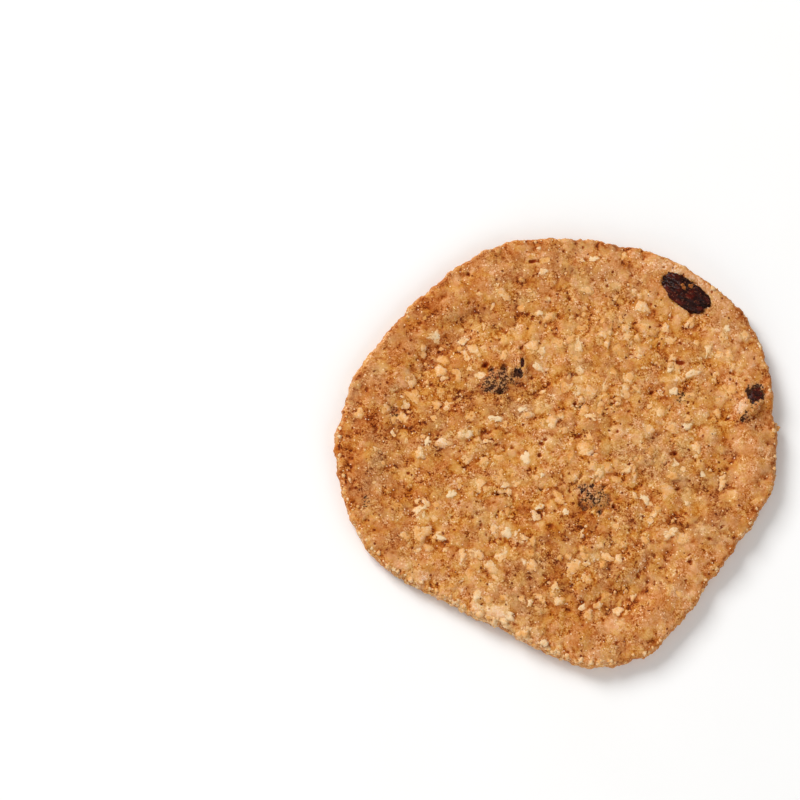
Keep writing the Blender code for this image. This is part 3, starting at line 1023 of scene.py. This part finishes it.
# %% Values, mixtures and bump
class Paint(Grains):
    """A finish: values are stretched and combined, and colours mixed."""

    def stretch(self, value, low, high, start=0.0, end=1.0):
        """Moves the range low to high onto start to end, and cuts off what lies outside."""
        node = self.tree.nodes.new("ShaderNodeMapRange")
        self.feed(node.inputs["Value"], value)
        for name, number in zip(("From Min", "From Max", "To Min", "To Max"), (low, high, start, end)):
            node.inputs[name].default_value = number
        return node.outputs["Result"]

    def marked(self, name, low, high, start=0.0, end=1.0):
        """A mark of the mesh, stretched in the same way."""
        return self.stretch(self.mark(name), low, high, start, end)

    def sway(self, value, by):
        """Random lumps, as a change of about this much up or down."""
        return self.stretch(value, 0.3, 0.7, -by, by)

    def combine(self, operation, first, *others):
        """Adds, multiplies or compares values, one after another."""
        for other in others:
            node = self.tree.nodes.new("ShaderNodeMath")
            node.operation = operation
            self.feed(node.inputs[0], first)
            self.feed(node.inputs[1], other)
            first = node.outputs["Value"]
        return first

    def mix(self, share, a, b):
        """a where the share is 0, b where it is 1."""
        node = self.tree.nodes.new("ShaderNodeMix")
        node.data_type = "RGBA"
        self.feed(node.inputs["Factor"], share)
        self.feed(node.inputs[6], a)
        self.feed(node.inputs[7], b)
        return node.outputs[2]

    def ramp(self, value, *stops):
        """Colours along a scale: each stop is a place from 0 to 1 and a colour."""
        node = self.tree.nodes.new("ShaderNodeValToRGB")
        self.feed(node.inputs["Fac"], value)
        scale = node.color_ramp.elements
        scale[0].position, scale[0].color = stops[0]
        scale[1].position, scale[1].color = stops[-1]
        for place, tint in stops[1:-1]:
            scale.new(place).color = tint
        return node.outputs["Color"]

    def bump(self, height, depth):
        """Fine relief that is too small for the mesh, in millimetres."""
        node = self.tree.nodes.new("ShaderNodeBump")
        node.inputs["Distance"].default_value = depth * MM
        self.feed(node.inputs["Height"], height)
        self.feed(self.shader.inputs["Normal"], node.outputs["Normal"])


print("paint can mix and bump")

# %% [markdown]
# ## Baked dough
# Baking takes dough along one road of colours, from cream through gold and amber to red-brown. So the
# paint first works out one number for each place, its lightness on that road, and a scale turns it into
# a colour. Clouds and lumps of many sizes move it about; hollows, corners and the left side lower it as
# painted shade; bare oats and cream patches raise it. Fine grain comes in patches, and is weaker over
# oats, which the dough only coats. Two scales are mixed, a golden one and a pinker one for the rim.

# %% How light each place is baked
baked = Paint("baked_dough")
fine = baked.grain(0.7, 3.0, 0.02)
finest = baked.grain(0.30, 2.0, 0.05)
_, crumb_number = baked.cells(0.85, baked.shaken(0.6, 0.9, 0.03))
grit_far, grit_number = baked.cells(0.42, baked.shaken(0.3, 0.4, 0.07))
lump_far, lump_number = baked.cells(2.2, baked.shaken(1.1, 1.5, 0.27))
grainy = baked.combine(
    "ADD",
    baked.sway(fine, 0.18),
    baked.sway(finest, 0.27),
    baked.stretch(crumb_number, 0, 1, -0.07, 0.07),
    baked.stretch(grit_number, 0, 1, -0.09, 0.09),
    baked.stretch(grit_far, 0.35, 0.75, 0.05, -0.11),
)
patchy = baked.stretch(baked.grain(2.0, 2.0, 0.25), 0.38, 0.62, 0.4, 1.35)
patchy = baked.combine("MULTIPLY", patchy, baked.marked("rim", 0, 1, 1.0, 0.8))
lightness = baked.combine(
    "ADD",
    baked.combine("MULTIPLY", grainy, baked.marked("oat", 0.0, 0.8, 1.0, 0.5), patchy),
    baked.stretch(lump_number, 0, 1, -0.06, 0.06),
    baked.stretch(lump_far, 0.40, 0.75, 0.03, -0.09),
    baked.stretch(baked.grain(12, 2.0, 0.03), 0.3, 0.7, 0.52, 0.65),
    baked.sway(baked.grain(4.5, 2.0, 0.06), 0.07),
    baked.sway(baked.grain(1.8, 3.0, 0.01), 0.03),
    # painted shade: crevices, hollows and basins are darker
    baked.marked("hollow", 0.0, 0.25, 0.0, -0.11),
    baked.marked("crevice", 0.0, 0.10, 0.0, -0.13),
    baked.marked("basin", 0.0, 0.5, 0.0, -0.10),
    # painted shade, with browner sugar: a thin darker line round each bare flake
    baked.marked("beside", 0.1, 0.6, 0.0, -0.08),
    # painted shade on the left side and in the listed patches
    baked.marked("toast", -2, 2, 0.15, -0.15),
    baked.marked("oat", 0, 1, -0.04, 0.16),
    baked.marked("pale", 0, 1, 0.0, 0.40),
    baked.marked("collar", 0, 1, 0.0, 0.20),
)
print("lightness made from", len(baked.tree.nodes), "nodes")

# %% Its colour
GOLDEN = (
    (0.00, colour(96, 34, 4)),
    (0.20, colour(165, 80, 8)),
    (0.40, colour(193, 122, 42)),
    (0.58, colour(207, 148, 73)),
    (0.78, colour(223, 173, 110)),
    (1.00, colour(235, 205, 165)),
)
TAN = (
    (0.00, colour(94, 32, 6)),
    (0.20, colour(159, 74, 16)),
    (0.40, colour(188, 113, 52)),
    (0.58, colour(204, 139, 81)),
    (0.78, colour(221, 165, 119)),
    (1.00, colour(234, 202, 172)),
)
golden = baked.combine(
    "ADD",
    baked.stretch(baked.grain(2.6, 3.0, 0.09), 0.42, 0.58, 0.05, 0.95),
    baked.sway(baked.grain(0.5, 2.0, 0.23), 0.4),
    baked.marked("oat", 0, 1, 0.0, 0.4),
    baked.marked("rim", 0, 1, 0.0, -0.45),
)
crust = baked.mix(baked.stretch(golden, 0, 1), baked.ramp(lightness, *TAN), baked.ramp(lightness, *GOLDEN))
print("crust mixed from", len(baked.tree.nodes), "nodes")

# %% Dull patches, and sugar glints painted as highlights
DULL = ((0.1, colour(92, 58, 34)), (0.9, colour(216, 180, 132)))
greyness = baked.combine(
    "ADD",
    baked.stretch(baked.grain(3.4, 3.0, 0.13), 0.46, 0.74, 0.0, 0.32),
    baked.stretch(baked.grain(11, 2.0, 0.16), 0.50, 0.66, 0.0, 0.20),
)
crust = baked.mix(baked.stretch(greyness, 0, 1), crust, baked.ramp(lightness, *DULL))
# painted highlights: sparse pale sugar specks, painted as the glints of its crystals
sugar_glint_far, sugar_glint_number = baked.cells(0.75, baked.moved(0.15))
sugar_glint = baked.stretch(sugar_glint_number, 0.60, 0.72, 0.0, 0.9)
sugar_glint = baked.combine("MULTIPLY", baked.stretch(sugar_glint_far, 0.22, 0.12), sugar_glint)
crust = baked.mix(sugar_glint, crust, colour(250, 226, 186))
print("crust coloured")

# %% [markdown]
# ## What shows through the dough
# Fruit under a thin film shows as a duller tint, full of dark specks, and a few glints of skin are
# painted on it as highlights. Pores go from amber at their border to dark red-brown inside, partly
# browner crust and partly painted shade. The underside lay on hot metal and baked evenly, so it gets
# one plain brown of its own.

# %% Raisin stains
tint = baked.mix(baked.stretch(finest, 0.38, 0.62), colour(140, 84, 50), colour(204, 154, 106))
crust = baked.mix(baked.marked("stain", 0.0, 0.5, 0.0, 0.8), crust, tint)
speck = baked.stretch(baked.grain(0.45, 2.0, 0.17), 0, 1, 1, 0)
speck = baked.combine("ADD", baked.marked("stain", 0, 1, 0.0, 0.36), speck)
spotted = baked.marked("stain", 0.03, 0.15, 0.0, 0.92)
speck = baked.combine("MULTIPLY", baked.stretch(speck, 0.62, 0.71), spotted)
crust = baked.mix(speck, crust, colour(44, 9, 3))
# painted highlights: grey glints of the raisin skin under the film
glint = baked.stretch(baked.grain(0.26, 1.0, 0.19), 0.64, 0.70)
glint = baked.combine("MULTIPLY", glint, baked.marked("stain", 0.15, 0.5, 0.0, 0.35))
crust = baked.mix(glint, crust, colour(156, 126, 108))
print("raisin stains painted")

# %% Pores and the underside
# painted shade: pinholes too small for the mesh are painted as dark red-brown spots with a slight dip
pinhole_far, pinhole_number = baked.cells(1.3, baked.shaken(0.45, 0.55, 0.21))
pinhole = baked.combine("SUBTRACT", pinhole_far, baked.stretch(pinhole_number, 0.5, 1.0, 0.0, 0.26))
pinhole = baked.stretch(pinhole, 0.02, -0.05)
sunk = baked.mark("pore")
hole = baked.combine("MAXIMUM", baked.stretch(sunk, 0.30, 0.70), pinhole)
crust = baked.mix(baked.stretch(pinhole, 0, 1, 0.0, 0.95), crust, colour(116, 40, 6))
# the sunk pores: amber walls and a dark red-brown inside, partly browner crust and partly painted shade
crust = baked.mix(baked.stretch(sunk, 0.15, 0.55, 0.0, 0.9), crust, colour(156, 72, 24))
uneven = baked.stretch(fine, 0.35, 0.65)
deep = baked.mix(uneven, colour(114, 34, 5), colour(150, 58, 14))
crust = baked.mix(baked.stretch(sunk, 0.55, 0.9), crust, deep)
underside = baked.mix(uneven, colour(182, 112, 58), colour(140, 78, 34))
crust = baked.mix(baked.mark("under"), crust, underside)
baked.feed(baked.shader.inputs["Base Color"], crust)
print("dough paint has", len(baked.tree.nodes), "nodes")

# %% [markdown]
# ## Gloss, depth and grain of the crust
# Crust is hardly glossy, yet it doesn't look like clay: fat and sugar let some light in, which comes out
# again a little further on and a little redder. Subsurface scattering does that. The red spreads only
# slightly further than the green, or small pale chips would turn greenish. Bump stays low, because
# strong bump makes dough look like sand.

# %% Its gloss and grain
def dull_and_deep(paint, share):
    """Baked crust: hardly glossy, and this share of the light goes a little way into it."""
    paint.shader.inputs["Specular IOR Level"].default_value = 0.06
    paint.shader.inputs["Subsurface Weight"].default_value = share
    paint.shader.inputs["Subsurface Radius"].default_value = (0.8, 0.5, 0.28)
    paint.shader.inputs["Subsurface Scale"].default_value = 1.0 * MM


baked.feed(baked.shader.inputs["Roughness"], baked.stretch(fine, 0.3, 0.7, 0.45, 0.75))
dull_and_deep(baked, 0.5)
grit_height = baked.stretch(grit_far, 0.1, 0.8, 0.6, 0.0)
granules = baked.combine("ADD", grit_height, baked.stretch(finest, 0, 1, 0.0, 0.5), fine)
granules = baked.combine("SUBTRACT", granules, baked.stretch(hole, 0, 1, 0.0, 1.0))
baked.bump(granules, 0.06)
baked.wear(dough)
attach(dough, "root")
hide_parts("cookie")
print("dough painted")

# %% [markdown]
# ## Bare oats
# Where the dough ran off, the flake itself is seen: smooth, golden and a little domed, with a darker
# border. Each is a few rings of points round its middle, on the plate that was worked out before, and
# closed by a back that stays hidden in the dough. The oats are joined into one piece and the small bits
# into another, and both share one finish.

# %% A flake as a mesh
BACK_DEPTH = 0.5
FLAKE_GRAIN = 0.014  # how far points stray up or down, so that no flake is glassy


def flake_mesh(flake, around, rings, dice):
    """Points, faces and marks of one closed flake."""
    turn = np.arange(around) * 2 * math.pi / around
    reach = np.repeat([0.0, *rings, 0.0], [1] + [around] * len(rings) + [1])
    angle = np.concatenate([[0], *[turn] * len(rings), [0]])
    far = reach * torn(flake, angle)
    c, s = math.cos(flake["heading"]), math.sin(flake["heading"])
    lengthways, sideways = far * flake["along"] * np.cos(angle), far * flake["across"] * np.sin(angle)
    dx, dy = lengthways * c - sideways * s, lengthways * s + sideways * c
    ground = sample(slow_bed, flake["x"] + dx, flake["y"] + dy)
    height = plate(flake, dx, dy, reach, ground) + BARE_LIFT
    height += dice.normal(0, FLAKE_GRAIN, len(reach))
    height[-1] -= BACK_DEPTH
    points = np.stack([flake["x"] + dx, flake["y"] + dy, height], -1)
    after = np.roll(np.arange(around), -1)
    faces = [(0, 1 + k, 1 + after[k]) for k in range(around)]
    for ring in range(len(rings) - 1):
        inner, outer = 1 + ring * around, 1 + (ring + 1) * around
        faces += [(inner + k, outer + k, outer + after[k], inner + after[k]) for k in range(around)]
    last, back = 1 + (len(rings) - 1) * around, len(reach) - 1
    faces += [(last + after[k], last + k, back) for k in range(around)]
    return points, faces, {"reach": reach, "tone": flake["tone"], "light": flake["pale"]}


print("flake mesh ready")

# %% Join them into pieces
AROUND = 22
FLAKE_RINGS = (0.32, 0.62, 0.84, 0.98, 1.14)
BITS_AROUND = 11
BIT_RINGS = (0.5, 0.92, 1.15)


def joined_piece(name, parts):
    """Joins (points, faces, marks) parts into one mesh object."""
    points, faces, marks = [], [], {}
    first = 0
    for part_points, part_faces, part_marks in parts:
        points.append(part_points)
        faces += [tuple(int(corner + first) for corner in face) for face in part_faces]
        for key, value in part_marks.items():
            marks.setdefault(key, []).append(np.broadcast_to(value, len(part_points)))
        first += len(part_points)
    piece = make_piece(name, np.concatenate(points), faces)
    for key, values in marks.items():
        mark(piece, key, np.concatenate(values))
    print(name + ":", len(parts), "parts,", sum(len(face) - 2 for face in faces), "triangles")
    return piece


dice = np.random.default_rng(91)
oats = joined_piece("rolled_oats", [flake_mesh(flake, AROUND, FLAKE_RINGS, dice) for flake in bare_oats])
bits = joined_piece("oat_bits", [flake_mesh(bit, BITS_AROUND, BIT_RINGS, dice) for bit in bare_bits])

# %% Paint the oats
flaky = Paint("oat_flake")
mottle = flaky.grain(0.8, 3.0, 0.02)
speckle = flaky.grain(0.28, 2.0, 0.05)
dimple_far, dimple_number = flaky.cells(0.9, flaky.shaken(0.4, 0.4, 0.08))
dimple = flaky.stretch(dimple_number, 0.4, 0.6, 0.0, -0.3)
lightness = flaky.combine(
    "ADD",
    flaky.marked("tone", -1, 1, 0.34, 0.82),
    flaky.sway(mottle, 0.16),
    flaky.sway(speckle, 0.14),
    flaky.combine("MULTIPLY", flaky.stretch(dimple_far, 0.30, 0.16), dimple),
    flaky.sway(flaky.grain(3.0, 2.0, 0.04), 0.12),
    flaky.marked("reach", 0.55, 1.05, 0.0, -0.10),
    flaky.marked("light", 0, 1, 0.0, 0.32),
)
OAT = (
    (0.00, colour(134, 60, 12)),
    (0.25, colour(192, 112, 40)),
    (0.45, colour(214, 148, 74)),
    (0.65, colour(228, 168, 103)),
    (0.85, colour(234, 188, 136)),
    (1.00, colour(238, 205, 163)),
)
# Dough creeps over the border of a flake, and least over the palest ones
creeping = flaky.combine("ADD", flaky.mark("reach"), flaky.sway(mottle, 0.6))
creeping = flaky.combine("SUBTRACT", creeping, flaky.mark("light"))
creeping = flaky.stretch(creeping, 0.60, 1.15, 0, 0.85)
coated = flaky.mix(creeping, flaky.ramp(lightness, *OAT), flaky.ramp(lightness, *TAN))
flaky.feed(flaky.shader.inputs["Base Color"], coated)
flaky.feed(flaky.shader.inputs["Roughness"], flaky.stretch(mottle, 0.3, 0.7, 0.5, 0.75))
dull_and_deep(flaky, 0.15)
flaky.bump(flaky.combine("ADD", speckle, mottle, flaky.stretch(dimple_far, 0.1, 0.4, 0.0, 0.5)), 0.13)
for piece in (oats, bits):
    flaky.wear(piece)
    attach(piece, "root")
print("oats painted with", len(flaky.tree.nodes), "nodes")

# %% [markdown]
# ## Crumbs
# The edge broke into crumbs where the dough was driest, most of all at the lower left, and a few larger
# ones hang at the right. Two dabs of dough also stuck to the rim raisin, where they baked as dark as
# the underside. Each crumb is a small ball that noise has made lumpy, and they are joined too.

# %% A crumb
CRUMB_LUMPS = 0.7  # how far noise pushes a crumb's points, as a share of its half width


def crumb_mesh(middle, half, squash, offset):
    """A lumpy ball with this half width, flattened to its squash."""
    ball = bmesh.new()
    bmesh.ops.create_icosphere(ball, subdivisions=2, radius=1.0)
    for vertex in ball.verts:
        vertex.co *= 1 + CRUMB_LUMPS * noise.noise(vertex.co * 1.3 + Vector((offset, 0, 0)))
    points = np.array([vertex.co[:] for vertex in ball.verts]) * (half, half, half * squash) + middle
    faces = [tuple(corner.index for corner in face.verts) for face in ball.faces]
    ball.free()
    return points, faces


print("crumb mesh ready")

# %% Crumbs along the edge
EDGE_CRUMBS = 330
CRUMB_HALF = 0.24  # the usual half width, and how much wider crumbs are where the edge is driest
DRY_CRUMB_MORE = 0.20
CRUMB_SINK = 0.55  # how much of its half width a crumb is sunk into the edge
dice = np.random.default_rng(95)
crumbs = []
for number in range(EDGE_CRUMBS):
    spread = CRUMBLY_SPREAD if number % 2 else math.pi
    bearing = CRUMBLY_SIDE + dice.normal(0, spread)
    size = CRUMB_HALF + DRY_CRUMB_MORE * dryness(bearing)
    half = float(np.clip(dice.lognormal(math.log(size), 0.38), 0.14, 0.95))
    turn = math.radians(dice.uniform(5, 85))
    inner = edge_of(bearing, 1.0) - LIP
    rim_height = float(sample(surface, inner * math.cos(bearing), inner * math.sin(bearing)))
    away = edge_of(bearing, 1.0) - LIP * (1 - math.sin(turn)) - CRUMB_SINK * half
    height = LIP_FOOT + (rim_height - LIP_FOOT) * (1 + math.cos(turn)) / 2
    middle = (away * math.cos(bearing), away * math.sin(bearing), max(height, 1.2 * half))
    points, faces = crumb_mesh(middle, half, dice.uniform(0.7, 1.0), 7.1 * number)
    marks = {"tone": dice.uniform(0.2, 1), "light": dice.uniform(0, 0.5), "reach": 0.4}
    crumbs.append((points, faces, marks))
print(len(crumbs), "edge crumbs")

# %% Lone crumbs
# x, y, height, half width, squash, lightness
LONE_CRUMBS = (
    (46.0, 5.0, 2.6, 0.75, 0.8, 0.15),
    (46.9, 5.6, 2.4, 0.60, 0.8, 0.05),
    (46.4, 6.2, 2.7, 0.50, 0.8, 0.20),
    (45.9, 0.4, 2.4, 0.40, 0.8, 0.10),
)
for x, y, height, half, squash, light in LONE_CRUMBS:
    points, faces = crumb_mesh((x, y, height), half, squash, x + y)
    crumbs.append((points, faces, {"tone": 0.3, "light": light, "reach": 0.6}))
print(len(crumbs), "crumbs with the lone ones")

# %% Dabs on the rim raisin
# x, y, half width: the first two dabs touch, and make one longer dab
DABS = (
    (26.7, 35.4, 0.45),
    (27.0, 34.8, 0.50),
    (28.4, 35.3, 0.50),
)
DAB_LIFT = 0.12  # over the raisin's rounded top
DAB_SQUASH = 0.25
middle, heading, along, across, depth = raisins["raisin_rim"]
dabs = []
for x, y, half in DABS:
    reach = oval(x - middle[0], y - middle[1], heading, along, across)
    rim_top = middle[2] + depth * math.sqrt(max(0, 1 - reach**2))
    points, faces = crumb_mesh((x, y, rim_top + DAB_LIFT), half, DAB_SQUASH, 3 * x + y)
    dabs.append((points, faces, {"under": 1}))
thin = joined_piece("dabs", dabs)
loose = joined_piece("crumbs", crumbs)
baked.wear(thin)
flaky.wear(loose)
for piece in (thin, loose):
    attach(piece, "root")
print(len(dabs), "dabs in one piece, and all crumbs in another")

# %% [markdown]
# ## Raisins
# A raisin is a dried grape: its skin stayed the same size while the flesh shrank, so it folded into
# long ridges with narrow valleys. Each starts as a finely divided ball and is folded by noise that is
# stretched along the raisin. Taking the size of the noise without its sign gives round ridges and sharp
# valleys. Then it takes the size and place of its plain solid.

# %% How the skin folds
# how many folds, how steep they are, how much they count
FOLD_SIZES = ((1.2, 2.4, 0.45), (2.5, 2.2, 0.33), (4.8, 2.0, 0.22))


def fold_depth(point, offset):
    """How deep the skin is folded at a point of the unit ball, from 0 to 1."""
    along = Vector((point.x * 0.9, point.y * 2.0, point.z * 2.0)) + Vector((offset, 0, 0))
    sway = 0.6 * Vector((0, noise.noise(point * 1.7 + Vector((0, offset, 0))), 0))
    depth = 0
    for often, steep, share in FOLD_SIZES:
        depth += share * (1 - min(1, steep * abs(noise.noise(along * often + sway)))) ** 2
    return depth


print("skin folds at", len(FOLD_SIZES), "sizes")

# %% A raisin's mesh
RAISIN_DIVISIONS = 5
LUMPS = 0.10  # as shares of the raisin's half width
FOLDS = 0.32


def make_raisin(name, place, growth, offset):
    """A folded skin at the place of a plain raisin, this many times its size."""
    middle, heading, along, across, depth = place
    ball = bmesh.new()
    bmesh.ops.create_icosphere(ball, subdivisions=RAISIN_DIVISIONS, radius=1.0)
    folds = []
    for vertex in ball.verts:
        fold = fold_depth(vertex.co, offset)
        folds.append(fold)
        lump = noise.noise(vertex.co * 2.0 + Vector((0, 0, offset)))
        vertex.co *= 1.0 + LUMPS * lump - FOLDS * fold
    size = Matrix.Diagonal((growth * along, growth * across, growth * depth, 1))
    turn = Matrix.Rotation(heading, 4, "Z")
    ball.transform(Matrix.Scale(MM, 4) @ Matrix.Translation(middle) @ turn @ size)
    mesh = bpy.data.meshes.new(name)
    ball.to_mesh(mesh)
    ball.free()
    mesh.shade_smooth()
    made = bpy.data.objects.new(name, mesh)
    bpy.context.scene.collection.objects.link(made)
    mark(made, "fold", folds)
    return made


print("raisin mesh ready")

# %% Paint and place the raisins
skin = Paint("raisin_skin")
flesh = skin.mix(skin.stretch(skin.grain(2.2, 2.0, 0.04), 0.42, 0.62), colour(34, 6, 3), colour(84, 20, 7))
# painted shade: the skin is darkest down in its fold valleys
flesh = skin.mix(skin.stretch(skin.mark("fold"), 0.15, 0.6), flesh, colour(28, 6, 3))
flesh = skin.mix(skin.stretch(skin.grain(0.6, 3.0, 0.11), 0.48, 0.62, 0.0, 0.6), flesh, colour(30, 9, 6))
# sugar bloom and painted highlights: sparse pale tan specks, standing partly for glints on the skin
bloom_and_glint = skin.combine("MULTIPLY", skin.stretch(skin.grain(0.35, 2.0, 0.07), 0.61, 0.67), 0.42)
flesh = skin.mix(bloom_and_glint, flesh, colour(160, 96, 66))
skin.feed(skin.shader.inputs["Base Color"], flesh)
sheen = skin.stretch(skin.grain(0.8, 2.0, 0.02), 0.35, 0.65, 0.20, 0.36)
skin.feed(skin.shader.inputs["Roughness"], sheen)
skin.shader.inputs["Specular IOR Level"].default_value = 0.16
skin.bump(skin.grain(0.5, 3.0, 0.01), 0.10)

# The bare raisin fills its socket; the skins of the covered ones stay a little inside the film
RIM_GROWTH = 1.12
COVERED_GROWTH = 0.95
for order, name in enumerate(RAISINS):
    growth = RIM_GROWTH if name == "raisin_rim" else COVERED_GROWTH
    raisin = make_raisin("skin_of_" + name, raisins[name], growth, 3.7 * order)
    skin.wear(raisin)
    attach(raisin, "root")
    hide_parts(name)
print(len(RAISINS), "raisins")

# %% [markdown]
# ## The table
# A plain pale table, so that nothing competes with the cookie. A trace of grain keeps it from looking
# like empty space.

# %% Lay the table
TABLE_SIDE = 6000.0
TABLE_DROP = 0.03  # a hair below the flat underside, so that the two don't share one plane
half = TABLE_SIDE / 2
corners = [(x, y, -TABLE_DROP) for x, y in ((-half, -half), (half, -half), (half, half), (-half, half))]
table = make_piece("table", corners, [(0, 1, 2, 3)])
white = Paint("white_table")
plaster = white.mix(white.grain(30, 2.0), colour(246, 246, 246), colour(243, 243, 242))
white.feed(white.shader.inputs["Base Color"], plaster)
white.shader.inputs["Roughness"].default_value = 0.7
white.wear(table)
print("table laid")

# %% [markdown]
# ## The end
# The dressed cookie must stay as large as the plain one, whose box was measured at the start.

# %% Finish
print("done")
